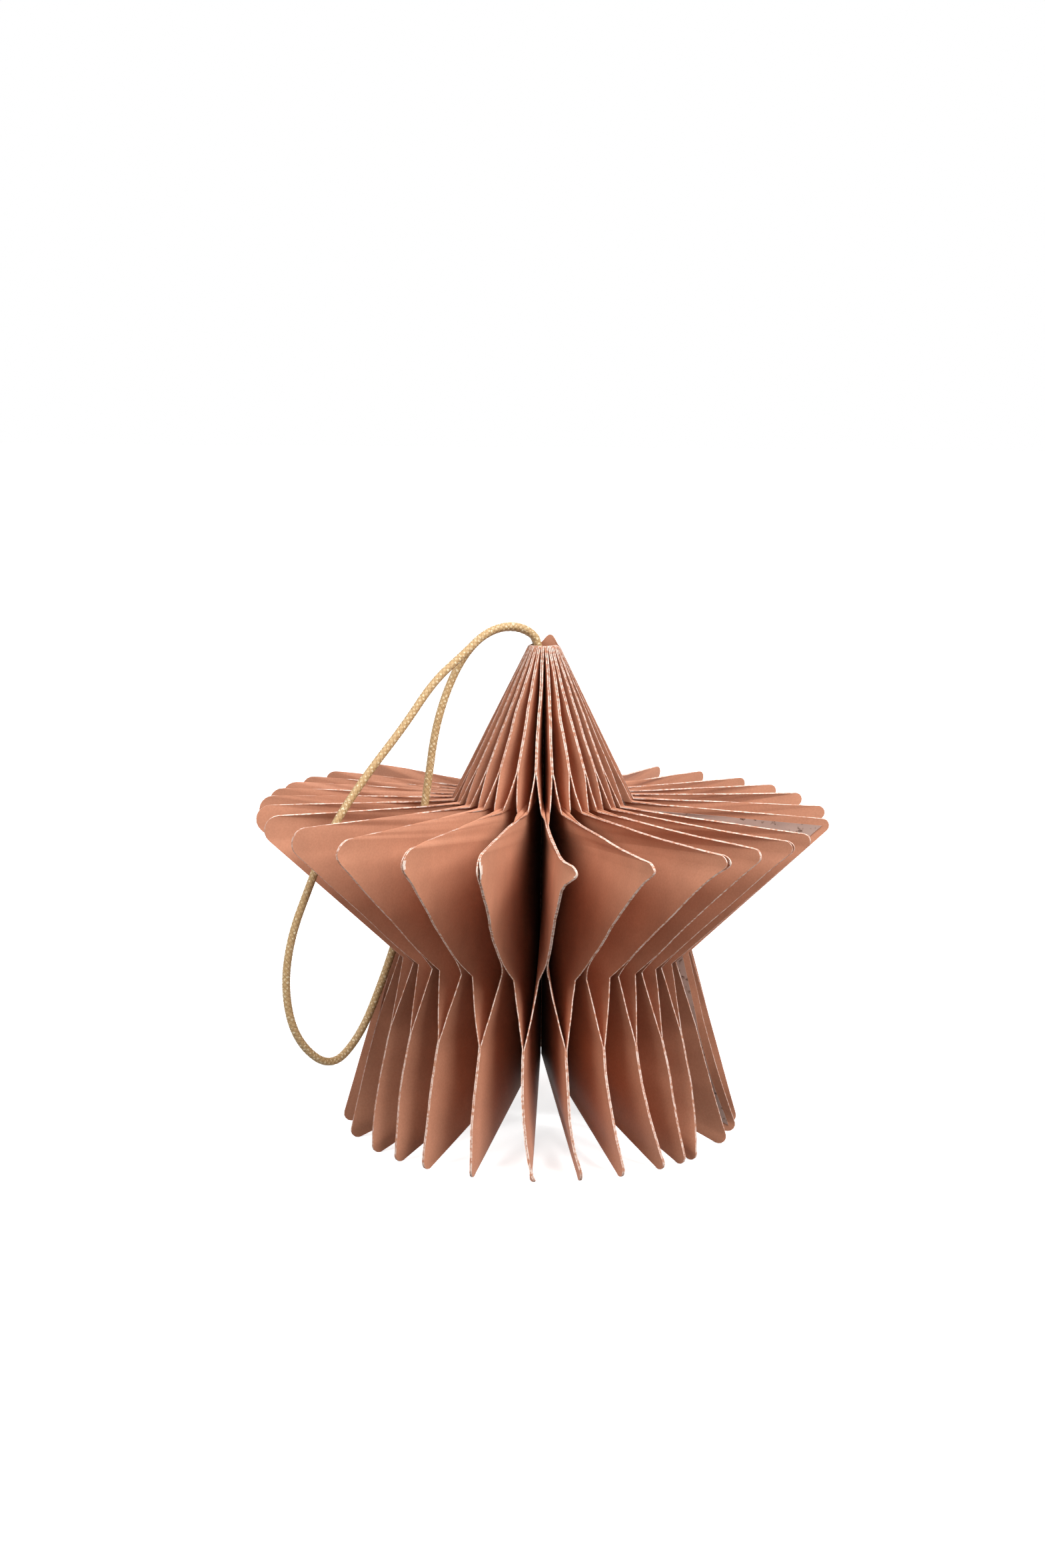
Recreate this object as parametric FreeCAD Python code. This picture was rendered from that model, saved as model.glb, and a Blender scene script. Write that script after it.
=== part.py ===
"""Hanging star of die-cut paper leaves, fanned out round a hollow spine.

Each leaf is half a star in outline: a slope of the cone at the top, an arm and a leg. The leaves stand edge to
edge round the spine. Two and two they are glued together along the arms, and each is glued to the neighbour on
its other side along the cone and the legs, so the fan opens into pockets. The first and the last leaf meet at
the seam, where the first one carries a strip of adhesive film. A loop of cord comes out of the spine's top, falls
to the left between two arms and goes back up between the next two, and a knot in the spine holds both its ends.

Frame: Z up, the spine on Z, the feet of the legs on Z = 0, and the front of the star towards -Y.
Azimuths are in degrees from the front, positive towards +X.
"""
import FreeCAD, Part
import os
from math import acos, atan2, cos, degrees, dist, pi, radians, sin, tan

# Sizes in millimetres
LEAF_THICKNESS = 0.25
SPINE_AIR = 0.005           # between neighbours where their inner edges stand side by side
STAR_HEIGHT = 86.0          # top of the leaves
CROTCH_HEIGHT = 12.8        # lower end of the inner edges
TOP_LAND = 0.5              # width of a leaf at its top
TOP_DROP = 0.4              # fall of that top edge
UPPER_NOTCH_RADIUS = 16.0   # where the cone meets the arm
UPPER_NOTCH_HEIGHT = 58.7
ARM_REACH = 50.2
ARM_TIP_HEIGHT = 55.8       # centre of the rounded tip
SOFT_TIP_ROUND = 2.5
CRISP_TIP_ROUND = 1.2
LOWER_NOTCH_RADIUS = 26.5   # where the arm meets the leg
LOWER_NOTCH_HEIGHT = 32.4
FOOT_REACH = 35.2
FOOT_ROUND = 1.3
PEAK_RISE = 2.0             # the first leaf stands taller at the spine
PEAK_LEAN = 0.9             # and leans in over the hollow
FILM_THICKNESS = 0.08
FILM_MARGIN = 1.6           # bare paper round the film
CORD_DIAMETER = 1.4
CORD_SIDES = 8              # the tube is plain, with flat sides
KNOT_TURNS = 3
KNOT_RADIUS = 1.85

# Azimuths of the glued arms, from the seam round the back to the front and on to the seam again
ARM_TIPS = [80, 94, 109, 120, 130, 142, 153, 165, 180, 195, 220, 234, 242, 250,
            258, 267, 278, 290, 304, 319, 334, 348, 364, 379, 395, 404, 414, 423]
ARM_ROOTS = [78, 92, 106, 117, 129, 141, 152, 165, 180, 195, 218, 231, 240, 248,
             257, 267, 280, 293, 305, 317, 331, 347, 361, 374, 387, 398, 409, 419]
# Azimuths of the glued feet between those arms
FEET = [88, 99, 111, 123, 135, 146, 158, 172, 188, 206, 224, 236, 244, 252,
        262, 273, 289, 305, 315, 326, 340, 357, 371, 383, 396, 404, 409]
# The seam's two leaves are free of each other: cone line and foot of the first leaf and of the last
FIRST_LEAF_CONE, FIRST_LEAF_FOOT = 73, 79
LAST_LEAF_CONE, LAST_LEAF_FOOT = 425, 427
SOFT_TIPS = range(10, 22)   # the arms at the left are rounder at the tip
SLOT_START = 78             # azimuth of the first arm's place at the spine
LEG_FLARE = 2.5             # the legs turn sideways mostly near the foot: power of the way along

# Shares of an edge, from its upper end, where the glue starts or ends
CONE_GLUE_END = 0.76
ARM_GLUE_START = 0.30
ARM_GLUE_END = 0.80         # of the arm's lower edge, from the tip
LEG_GLUE_START = 0.36
# How far a leaf has swung from the cone's glue line to the arm's at each notch
UPPER_NOTCH_SWING = 0.62
LOWER_NOTCH_SWING = 0.71

# The fold lines run out from the spine. Each value is a share of the inner edge, from its top
FOLD_CONE, FOLD_UPPER_NOTCH, FOLD_ARM_GLUE, FOLD_TIP = 0.25, 0.35, 0.38, 0.46
FOLD_ARM_END, FOLD_LOWER_NOTCH, FOLD_LEG_GLUE = 0.58, 0.64, 0.82
ARC_STEPS = 4               # flats round a tip or a foot

# Route of the cord, from the knot up and out at the top, round the loop and back down to the knot
CORD_ROUTE = [
    (-0.4, -0.8, 74.0), (-0.4, -0.8, 86.0), (-3.2, -1.9, 89.2), (-6.8, -3.6, 90.2), (-10.6, -5.5, 89.0),
    (-13.9, -7.3, 85.2), (-18.6, -9.7, 80.6), (-23.6, -12.4, 73.4), (-30.2, -15.7, 65.2), (-35.9, -18.7, 56.8),
    (-39.6, -20.5, 48.0), (-43.2, -22.4, 38.6), (-44.2, -22.9, 29.2), (-42.2, -21.6, 20.0), (-36.6, -16.2, 13.6),
    (-31.8, -9.9, 18.0), (-27.9, -8.2, 27.2), (-24.4, -7.3, 38.0), (-21.7, -6.3, 50.0), (-20.0, -5.8, 62.0),
    (-18.7, -5.3, 72.2), (-15.8, -4.4, 81.4), (-12.4, -3.2, 87.2), (-8.4, -1.7, 90.0), (-4.0, 0.0, 89.6),
    (-0.4, 0.8, 86.2), (-0.4, 0.8, 74.0),
]

ARMS = len(ARM_TIPS)
LEAVES = 2 * ARMS
SLOT = 360.0 / LEAVES
SPINE_RADIUS = LEAVES * (LEAF_THICKNESS + SPINE_AIR) / (2 * pi)
INNER_EDGE = STAR_HEIGHT - CROTCH_HEIGHT


def at(radius, azimuth, height):
    """Point of the frame at this radius, azimuth in degrees and height."""
    return FreeCAD.Vector(radius * sin(radians(azimuth)), -radius * cos(radians(azimuth)), height)


def between(a, b, share):
    """Value or plane point this share of the way from a to b."""
    if isinstance(a, tuple):
        return tuple(p + (q - p) * share for p, q in zip(a, b))
    return a + (b - a) * share


def rounded(before, centre, radius, after, stop=None):
    """Arc of a rounded corner, between the tangents from the outline's points before and after it.

    With a stop, an angle, the middle point of the arc lies there.
    """
    ends = []
    for point, side in ((before, 1), (after, -1)):
        lean = acos(radius / dist(point, centre))
        ends.append(atan2(point[1] - centre[1], point[0] - centre[0]) - side * lean)
    if ends[1] > ends[0]:
        ends[1] -= 2 * pi
    middle = between(ends[0], ends[1], 0.5) if stop is None else stop
    half = ARC_STEPS // 2
    turns = [between(ends[0], middle, step / half) for step in range(half)]
    turns += [between(middle, ends[1], step / half) for step in range(half + 1)]
    return [(centre[0] + radius * cos(a), centre[1] + radius * sin(a)) for a in turns]


class Station:
    """One point of a leaf's free edge, and the fold line that joins it to the spine."""

    def __init__(self, point, swing, fold, along_arm=0.0, along_leg=0.0):
        self.radius, self.height = point
        self.swing = swing          # 0 on the cone's glue line, 1 on the arm's
        self.fold = fold            # where the fold line meets the spine
        self.along_arm = along_arm  # 0 at the notch, 1 at the tip
        self.along_leg = along_leg  # 0 where the leg's glue starts, 1 at the foot


def free_edge(tip_round, peaked=False):
    """Stations round the free edge of one leaf, from its top corner to its foot."""
    top = (SPINE_RADIUS + TOP_LAND, STAR_HEIGHT - TOP_DROP)
    upper_notch = (UPPER_NOTCH_RADIUS, UPPER_NOTCH_HEIGHT)
    lower_notch = (LOWER_NOTCH_RADIUS, LOWER_NOTCH_HEIGHT)
    crotch = (SPINE_RADIUS, CROTCH_HEIGHT)
    tip = rounded(upper_notch, (ARM_REACH - tip_round, ARM_TIP_HEIGHT), tip_round, lower_notch)
    foot = rounded(lower_notch, (FOOT_REACH - FOOT_ROUND, FOOT_ROUND), FOOT_ROUND, crotch, stop=-pi / 2)
    stations = []
    if peaked:
        peak = (SPINE_RADIUS - PEAK_LEAN, STAR_HEIGHT + PEAK_RISE)
        for share in (0.0, 0.4):
            stations.append(Station(between(peak, top, share), 0.0, 0.0))
    stations.append(Station(top, 0.0, 0.0))
    fork = between(top, upper_notch, CONE_GLUE_END)
    for share in (0.0, 0.5, 1.0):
        fold = between(FOLD_CONE, FOLD_UPPER_NOTCH, share)
        stations.append(Station(between(fork, upper_notch, share), UPPER_NOTCH_SWING * share, fold))
    for share in (1 / 3, 2 / 3, 1.0):
        along = ARM_GLUE_START * share
        swing = 1 - (1 - UPPER_NOTCH_SWING) * (1 - share) ** 2
        stations.append(Station(between(upper_notch, tip[0], along), swing, FOLD_ARM_GLUE, along))
    along = (1 + ARM_GLUE_START) / 2
    stations.append(Station(between(upper_notch, tip[0], along), 1.0, FOLD_TIP, along))
    for point in tip:
        stations.append(Station(point, 1.0, FOLD_TIP, 1.0))
    for share in (0.5, 1.0):
        along = ARM_GLUE_END * share
        stations.append(Station(between(tip[-1], lower_notch, along), 1.0, FOLD_ARM_END, 1 - along))
    for share in (1 / 3, 2 / 3, 1.0):
        along = between(ARM_GLUE_END, 1.0, share)
        swing = 1 - (1 - LOWER_NOTCH_SWING) * share ** 2
        stations.append(Station(between(tip[-1], lower_notch, along), swing, FOLD_LOWER_NOTCH, 1 - along))
    for share in (1 / 3, 2 / 3, 1.0):
        fold = between(FOLD_LOWER_NOTCH, FOLD_LEG_GLUE, share)
        point = between(lower_notch, foot[0], LEG_GLUE_START * share)
        stations.append(Station(point, LOWER_NOTCH_SWING * (1 - share), fold))
    for along in (0.5, 0.8):
        point = between(lower_notch, foot[0], between(LEG_GLUE_START, 1.0, along))
        stations.append(Station(point, 0.0, between(FOLD_LEG_GLUE, 1.0, along), 0.0, along))
    for point in foot:
        stations.append(Station(point, 0.0, 1.0, 0.0, 1.0))
    return stations


def cone_lines(leaf):
    """(azimuth of a leaf's glue line on the cone, azimuth of its foot)."""
    if leaf == 0:
        return FIRST_LEAF_CONE, FIRST_LEAF_FOOT
    if leaf == LEAVES - 1:
        return LAST_LEAF_CONE, LAST_LEAF_FOOT
    join = (leaf - 1) // 2
    return (ARM_ROOTS[join] + ARM_ROOTS[join + 1]) / 2, FEET[join]


def faces_of_leaf(leaf, stations):
    """Edge points of a leaf's two faces: [(left outline, left spine), (right outline, right spine)].

    A leaf that is the left one of its arm lies on the low side of the arm's glue line and on the high side of
    the cone's, and the other way round for the right one. The two faces are one thickness apart all over.
    """
    arm, right_one = divmod(leaf, 2)
    side = 1 if right_one else -1
    slot = SLOT_START + (leaf - 0.5) * SLOT
    cone, foot = cone_lines(leaf)
    outlines, spines = ([], []), ([], [])
    for s in stations:
        turn = degrees(LEAF_THICKNESS / max(s.radius, SPINE_RADIUS))
        if s.height > STAR_HEIGHT - INNER_EDGE * FOLD_CONE / 2:
            near, far = slot - turn / 2, slot + turn / 2
        else:
            arm_line = between(ARM_ROOTS[arm], ARM_TIPS[arm], s.along_arm)
            cone_line = between(cone, foot, s.along_leg ** LEG_FLARE)
            middle = between(cone_line - side * turn / 2, arm_line + side * turn / 2, s.swing)
            near, far = middle - turn / 2, middle + turn / 2
        for outline, azimuth in zip(outlines, (near, far)):
            outline.append(at(s.radius, azimuth, s.height))
        turn = degrees(LEAF_THICKNESS / SPINE_RADIUS)
        height = STAR_HEIGHT - INNER_EDGE * s.fold
        for spine, azimuth in zip(spines, (slot - turn / 2, slot + turn / 2)):
            spine.append(at(SPINE_RADIUS, azimuth, height))
    return [(outlines[0], spines[0]), (outlines[1], spines[1])]


def flat(*points):
    """Plane face through these points."""
    return Part.Face(Part.makePolygon([*points, points[0]]))


def facets(outline, spine):
    """Plane facets of one face of a leaf."""
    faces = []
    for i in range(len(outline) - 1):
        faces.append(flat(outline[i], outline[i + 1], spine[i]))
        if spine[i] != spine[i + 1]:
            faces.append(flat(outline[i + 1], spine[i + 1], spine[i]))
    return faces


def rim_edges(faces):
    """Edges that only one of the faces has."""
    owners = {}
    for face in faces:
        for edge in face.Edges:
            key = frozenset(tuple(round(c, 4) for c in vertex.Point) for vertex in edge.Vertexes)
            owners.setdefault(key, []).append(edge)
    return [edges[0] for edges in owners.values() if len(edges) == 1]


def closed_solid(faces):
    """Solid inside these faces."""
    solid = Part.Solid(Part.Shell(faces))
    if solid.Volume < 0:
        solid.reverse()
    return solid


def sheet(left, right):
    """Closed sheet between two faces, each given as (outline points, spine points).

    The shell starts at the cut edge. Points beside such a thin sheet are told apart, inside from outside, more
    safely than with the large faces first.
    """
    (out_l, in_l), (out_r, in_r) = left, right
    faces = []
    for end in (0, -1):
        faces.append(flat(out_l[end], out_r[end], in_l[end]))
        faces.append(flat(out_r[end], in_r[end], in_l[end]))
    for i in range(len(out_l) - 1):
        faces.append(flat(out_l[i], out_l[i + 1], out_r[i]))
        faces.append(flat(out_l[i + 1], out_r[i + 1], out_r[i]))
        if in_l[i] != in_l[i + 1]:
            faces.append(flat(in_l[i], in_l[i + 1], in_r[i + 1], in_r[i]))
    return closed_solid(faces + facets(*left) + facets(*right))


def make_leaf(leaf):
    """One die-cut leaf, counted from the seam."""
    tip_round = SOFT_TIP_ROUND if leaf // 2 in SOFT_TIPS else CRISP_TIP_ROUND
    return sheet(*faces_of_leaf(leaf, free_edge(tip_round, peaked=leaf == 0)))


def make_film():
    """Adhesive film on the outer face of the first leaf, a margin in from the leaf's edges."""
    stations = free_edge(CRISP_TIP_ROUND)
    outline, spine = faces_of_leaf(0, stations)[0]
    profile = [FreeCAD.Vector(s.radius, 0, s.height) for s in stations]
    profile += [FreeCAD.Vector(SPINE_RADIUS, 0, CROTCH_HEIGHT), FreeCAD.Vector(SPINE_RADIUS, 0, STAR_HEIGHT)]
    # Offset corners stay sharp with a join of 2
    trimmed = Part.makePolygon([*profile, profile[0]]).makeOffset2D(-FILM_MARGIN, join=2)
    room = FreeCAD.Vector(0, ARM_REACH / 2, 0)
    block = Part.Face(trimmed).extrude(room * 2)
    block.translate(-room)
    block.rotate(FreeCAD.Vector(), FreeCAD.Vector(0, 0, 1), ARM_TIPS[0] - 90)
    inner = [face for facet in facets(outline, spine) for face in facet.common(block).Faces]
    across = at(FILM_THICKNESS, FIRST_LEAF_CONE - 90, 0)
    outer = [face.translated(across) for face in inner]
    rim = [edge.extrude(across) for edge in rim_edges(inner)]
    return closed_solid(rim + inner + outer)


def cord_path(route):
    """Straight runs along the route joined by tangent arcs, and the radii of those arcs."""
    points = [FreeCAD.Vector(*p) for p in route]
    edges, radii = [], []
    last = points[0]
    for before, corner, after in zip(points, points[1:], points[2:]):
        into, out = corner - before, after - corner
        turn = into.getAngle(out)
        trim = 0.45 * min(into.Length, out.Length)
        start = corner - into.normalize() * trim
        end = corner + out.normalize() * trim
        radii.append(trim / tan(turn / 2))
        inward = (out - into).normalize()
        middle = corner + inward * (radii[-1] / cos(turn / 2) - radii[-1])
        edges += [Part.LineSegment(last, start).toShape(), Part.Arc(start, middle, end).toShape()]
        last = end
    edges.append(Part.LineSegment(last, points[-1]).toShape())
    return Part.Wire(edges), radii


def make_cord():
    """The hanging loop as one tube along its route, extruded along the runs and revolved round the bends."""
    path, radii = cord_path(CORD_ROUTE)
    start = FreeCAD.Vector(*CORD_ROUTE[0])
    circle = Part.Circle(start, FreeCAD.Vector(*CORD_ROUTE[1]) - start, CORD_DIAMETER / 2)
    corners = [circle.value(2 * pi * side / CORD_SIDES) for side in range(CORD_SIDES)]
    ring = Part.makePolygon([*corners, corners[0]])
    ends = [Part.Face(ring)]
    sides = []
    for edge in path.Edges:
        curve, first, last = edge.Curve, edge.FirstParameter, edge.LastParameter
        if isinstance(curve, Part.Line):
            step = edge.valueAt(last) - edge.valueAt(first)
            sides += ring.extrude(step).Faces
            ring = ring.translated(step)
        else:
            turn = degrees(last - first)
            sides += ring.revolve(curve.Center, curve.Axis, turn).Faces
            ring = ring.rotated(curve.Center, curve.Axis, turn)
    ends.append(Part.Face(ring))
    tube = closed_solid(ends + sides)
    print("cord length", round(path.Length, 1), "volume over section times length",
          round(tube.Volume / (ends[0].Area * path.Length), 4))
    print("cord radii", [round(r, 1) for r in radii])
    return tube


def make_knot():
    """Knot of cord turns in the hollow of the spine, under the two ends of the loop."""
    top = CORD_ROUTE[0][2]
    bottom = top - KNOT_TURNS * CORD_DIAMETER
    chamfer = CORD_DIAMETER / 4
    groove = KNOT_RADIUS - chamfer
    profile = [(0, top), (groove, top)]
    for turn in range(KNOT_TURNS):
        high = top - turn * CORD_DIAMETER
        low = high - CORD_DIAMETER
        profile += [(KNOT_RADIUS, high - chamfer), (KNOT_RADIUS, low + chamfer), (groove, low)]
    profile += [(0, bottom)]
    face = flat(*[FreeCAD.Vector(x, 0, z) for x, z in profile])
    return face.revolve(FreeCAD.Vector(), FreeCAD.Vector(0, 0, 1), 360)


def main():
    os.makedirs("parts", exist_ok=True)
    nodes = {f"leaf_{leaf + 1:02d}": make_leaf(leaf) for leaf in range(LEAVES)}
    nodes["adhesive_film"] = make_film()
    nodes["hanging_cord"] = make_cord()
    nodes["cord_knot"] = make_knot()
    for name, shape in nodes.items():
        if not shape.isValid() or shape.Volume <= 0:
            print("not a sound solid:", name)
        shape.exportStep(f"parts/{name}.step")


main()
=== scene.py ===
"""Hanging star of die-cut paper leaves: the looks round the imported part.

Lengths are in metres in the part's frame: Z up, the hollow spine on Z, the feet on Z = 0, the front
towards -Y.
Azimuths are in degrees from the front, positive towards +X. Every leaf takes its azimuths from its CAD node.
"""
import math
from collections import namedtuple

import bmesh
import bpy
from mathutils import Matrix, Vector, noise
from mathutils.bvhtree import BVHTree


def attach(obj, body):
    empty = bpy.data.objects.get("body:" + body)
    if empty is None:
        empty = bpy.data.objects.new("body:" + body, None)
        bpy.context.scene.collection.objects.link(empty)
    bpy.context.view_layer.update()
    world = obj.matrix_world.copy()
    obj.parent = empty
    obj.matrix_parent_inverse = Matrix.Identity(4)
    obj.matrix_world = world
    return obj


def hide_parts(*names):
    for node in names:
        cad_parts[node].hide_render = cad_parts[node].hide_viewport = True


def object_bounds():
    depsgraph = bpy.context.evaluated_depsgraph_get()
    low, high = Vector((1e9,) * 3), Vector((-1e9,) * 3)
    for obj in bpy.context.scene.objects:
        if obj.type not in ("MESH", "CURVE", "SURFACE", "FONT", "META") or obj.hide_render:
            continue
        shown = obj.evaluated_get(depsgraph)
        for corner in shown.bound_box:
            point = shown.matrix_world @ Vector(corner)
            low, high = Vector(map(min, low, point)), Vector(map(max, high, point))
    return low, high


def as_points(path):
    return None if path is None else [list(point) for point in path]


bl_info = {
    "name": "Folded paper star",
    "version": (1, 0, 0),
    "blender": (4, 5, 0),
    "location": "View3D > Sidebar > Paper star",
    "description": "Dresses the packed star: paper leaves, adhesive film, cord, knot and the stage",
    "category": "Object",
}

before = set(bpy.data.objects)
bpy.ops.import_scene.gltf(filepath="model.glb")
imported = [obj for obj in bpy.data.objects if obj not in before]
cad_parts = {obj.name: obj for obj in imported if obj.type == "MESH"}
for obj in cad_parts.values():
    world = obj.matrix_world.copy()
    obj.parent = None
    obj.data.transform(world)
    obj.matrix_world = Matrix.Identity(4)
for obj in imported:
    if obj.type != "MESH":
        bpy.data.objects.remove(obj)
cad_low, cad_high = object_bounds()

MM = 0.001

# The die-cut leaf, as the part has it
LEAVES = 56
SPINE_RADIUS = 2.273 * MM
STAR_HEIGHT = 86.0 * MM
CROTCH_HEIGHT = 12.8 * MM
TOP_LAND = 0.5 * MM
TOP_DROP = 0.4 * MM
UPPER_NOTCH = (16.0 * MM, 58.7 * MM)
LOWER_NOTCH = (26.5 * MM, 32.4 * MM)
ARM_REACH = 50.2 * MM
ARM_TIP_HEIGHT = 55.8 * MM
SOFT_TIP_ROUND = 2.5 * MM
CRISP_TIP_ROUND = 1.2 * MM
SOFT_TIPS = range(10, 22)
FOOT_REACH = 35.2 * MM
FOOT_ROUND = 1.3 * MM
PEAK_LEAN = 0.9 * MM
HALF_SHEET = 0.125 * MM

# The peak in front of the tab, lower than the part's
PEAK_RISE = 1.2 * MM
# Rounded tab of the first leaf's peak: radius and height over the star's top, in millimetres
PEAK_OUTLINE = [
    (-0.7, -0.6), (-0.6, 0.1), (-0.1, 0.6), (0.4, 1.2), (0.8, 1.55), (1.2, 1.65), (1.6, 1.45), (1.95, 0.95),
    (2.35, 0.25), (2.85, -0.65), (3.2, -1.3), (2.2, -1.5), (0.6, -1.6),
]
# How far into the folds the tab lies for the painted shade, which darkens the paper towards the spine: nought
# at the spine, one at the free edge
TAB_SHADE_DEPTH = 0.45

# The film: its margin to the leaf's outline, how far it stands off the leaf's middle, and its corners' folds
FILM_MARGIN = 1.2 * MM
FILM_STAND_OFF = 0.18 * MM
FILM_FOLDS = (0.03, 0.35, 0.46, 0.60, 0.97)
FILM_STEPS = 14
FILM_COLUMNS = 16

# Shares of an edge where the glue starts or ends, and how far a leaf has swung from the cone's line at
# each notch
CONE_GLUE_END = 0.76
ARM_GLUE_START = 0.30
ARM_GLUE_END = 0.80
LEG_GLUE_START = 0.36
UPPER_SWING = 0.62
LOWER_SWING = 0.71
LEG_FLARE = 2.5

# Folds of a leaf: shares of the spine's height, from the top, where the rulings from its corners end
FOLD_FORK = 0.25
FOLD_UPPER_NOTCH = 0.35
FOLD_ARM_GLUED = 0.38
FOLD_TIP_ABOVE = 0.455
FOLD_TIP_BELOW = 0.465
FOLD_ARM_OPEN = 0.58
FOLD_LOWER_NOTCH = 0.64
FOLD_LEG_GLUED = 0.82
FOLD_FOOT = 0.985

# Steps along the cone, from its glue's end to the notch, along an arm's edge, along the leg's open and glued
# stretches and round a corner; columns from the spine, crowded towards the edge
CONE_STEPS = 16
FORK_STEPS = 6
ARM_STEPS = 18
LEG_OPEN_STEPS = 7
LEG_GLUED_STEPS = 12
CORNER_STEPS = 8
COLUMNS = 12
CROWDING = 1.8
SHARP_ANGLE = math.radians(50)

# How near a CAD node's corner has to lie to the place where it is looked for
NEAR = 0.02 * MM

# Waves of a glued line to the metre, slow and quick, and how much each of them counts
SLOW_WAVES = 95
SLOW_WEIGHT = 1.5
QUICK_WAVES = 330
QUICK_WEIGHT = 0.45

# Route of the cord in millimetres: the part's points, with those of the loop moved a little
CORD_ROUTE = [
    (-0.4, -0.8, 74.0), (-0.4, -0.8, 86.0), (-2.9, -1.9, 88.8), (-6.4, -3.6, 89.6),
    (-10.2, -5.5, 88.4), (-13.7, -7.3, 85.0), (-18.8, -9.7, 80.6), (-23.8, -12.4, 73.1),
    (-30.2, -15.7, 65.0), (-35.7, -18.7, 56.7), (-39.0, -20.5, 48.0), (-42.5, -22.4, 38.6),
    (-43.6, -22.9, 29.2), (-41.7, -21.6, 20.1), (-36.3, -16.2, 13.8), (-31.6, -9.9, 18.0),
    (-27.9, -8.2, 27.2), (-24.4, -7.3, 38.0), (-21.7, -6.3, 50.0), (-20.0, -5.8, 62.0),
    (-18.7, -5.3, 72.2), (-15.8, -4.4, 80.9), (-12.2, -3.2, 86.5), (-8.0, -1.7, 89.0),
    (-3.8, 0.0, 88.8), (-0.4, 0.8, 86.2), (-0.4, 0.8, 74.0),
]
# Length of a strand's turn in the braid, and depth of the grooves between strands
STRAND_PITCH = 1.9 * MM
STRAND_DEPTH = 0.11 * MM

# The photograph's camera
CAMERA_PLACE = (-3.563 * MM, -427.1 * MM, 136.83 * MM)
CAMERA_PITCH = 0.17541
CAMERA_ROLL = 0.00695
CAMERA_LENS = 56.66
SENSOR = 36.0

# Azimuth, elevation, distance and size of the soft lights
LIGHTS = {
    "key": (48, 44, 0.8, 0.5),
    "fill": (-52, 42, 0.8, 0.5),
    "back": (180, 52, 0.9, 0.8),
}

# Tips of arms that are bent, dog-eared or drawn out. Leaf from nought: millimetres sideways and outwards, and
# how far from the tip the bend reaches
TIP_BENDS = {
    38: [(-0.3, 0.3, 4)],
    39: [(-0.3, 0.3, 4)],
    40: [(-0.4, 0.4, 5)],
    41: [(-0.3, 0.4, 5)],
    42: [(-0.2, 0.2, 4)],
    43: [(-0.2, 0.2, 4), (0.5, 0.2, 2.2)],
    44: [(0.7, 0.3, 5), (1.5, 0.9, 2.4)],
    45: [(0.7, 0.3, 5), (1.5, 0.9, 2.4)],
    46: [(0.6, 0.9, 4)],
    47: [(0.6, 0.9, 4)],
    48: [(0.5, 0.7, 5)],
    49: [(0.5, 0.7, 5), (0.9, 0.0, 2.2)],
    50: [(-0.4, 0.4, 5)],
    51: [(-0.4, 0.4, 5)],
    52: [(0.3, 0.2, 6)],
    53: [(0.3, 0.2, 6), (0.8, 0.0, 2.0)],
}
# Feet that are curled, in the same way, and how far from their tip the coating is torn off some leaves
FOOT_BENDS = {
    43: [(1.2, 0.5, 2.2)],
    44: [(1.2, 0.5, 2.2)],
}
TORN_TIPS = {41: 0.8, 42: 1.2, 43: 1.9, 44: 1.2, 49: 0.7}

# First number of the cone's glue lines; the arms' run from nought
CONE_LINES = 100

Station = namedtuple("Station", "radius height swing fold along_arm along_leg")


def linear(colour):
    """Linear RGBA of an sRGB hex value."""
    channels = [int(colour[i:i + 2], 16) / 255 for i in (0, 2, 4)]
    return (*[c / 12.92 if c <= 0.04045 else ((c + 0.055) / 1.055) ** 2.4 for c in channels], 1.0)


def polar(radius, azimuth, height):
    """Point of the frame at this radius, azimuth in degrees and height."""
    angle = math.radians(azimuth)
    return Vector((radius * math.sin(angle), -radius * math.cos(angle), height))


def mix(a, b, share):
    """Number or plane point this share of the way from a to b."""
    if isinstance(a, tuple):
        return tuple(p + (q - p) * share for p, q in zip(a, b))
    return a + (b - a) * share


def near_azimuth(azimuth, reference):
    """The azimuth, turned by whole turns until it lies within half a turn of the reference."""
    return reference + (azimuth - reference + 180) % 360 - 180


class StarPaper(bpy.types.PropertyGroup):
    thickness: bpy.props.FloatProperty(
        name="Paper thickness", description="Thickness of a leaf", default=0.19 * MM, unit="LENGTH")
    wave: bpy.props.FloatProperty(
        name="Waviness", description="How far the glued edges wander sideways", default=0.28 * MM,
        unit="LENGTH")
    colour: bpy.props.FloatVectorProperty(
        name="Paper", description="Colour of the coated face", subtype="COLOR", size=4, min=0, max=1,
        default=linear("c88c6f"))
    edge_colour: bpy.props.FloatVectorProperty(
        name="Cut edge", description="Colour of the paper's core where it is cut", subtype="COLOR", size=4,
        min=0, max=1, default=linear("f0d6c8"))


class StarFilm(bpy.types.PropertyGroup):
    thickness: bpy.props.FloatProperty(
        name="Film thickness", description="Thickness of the adhesive film", default=0.08 * MM, unit="LENGTH")
    colour: bpy.props.FloatVectorProperty(
        name="Film", description="Colour of the adhesive film", subtype="COLOR", size=4, min=0, max=1,
        default=linear("b3968a"))


class StarCord(bpy.types.PropertyGroup):
    diameter: bpy.props.FloatProperty(
        name="Cord diameter", description="Diameter of the waxed cord", default=1.4 * MM, unit="LENGTH")
    colour: bpy.props.FloatVectorProperty(
        name="Cord", description="Colour of the waxed cord", subtype="COLOR", size=4, min=0, max=1,
        default=linear("c8a574"))


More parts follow.
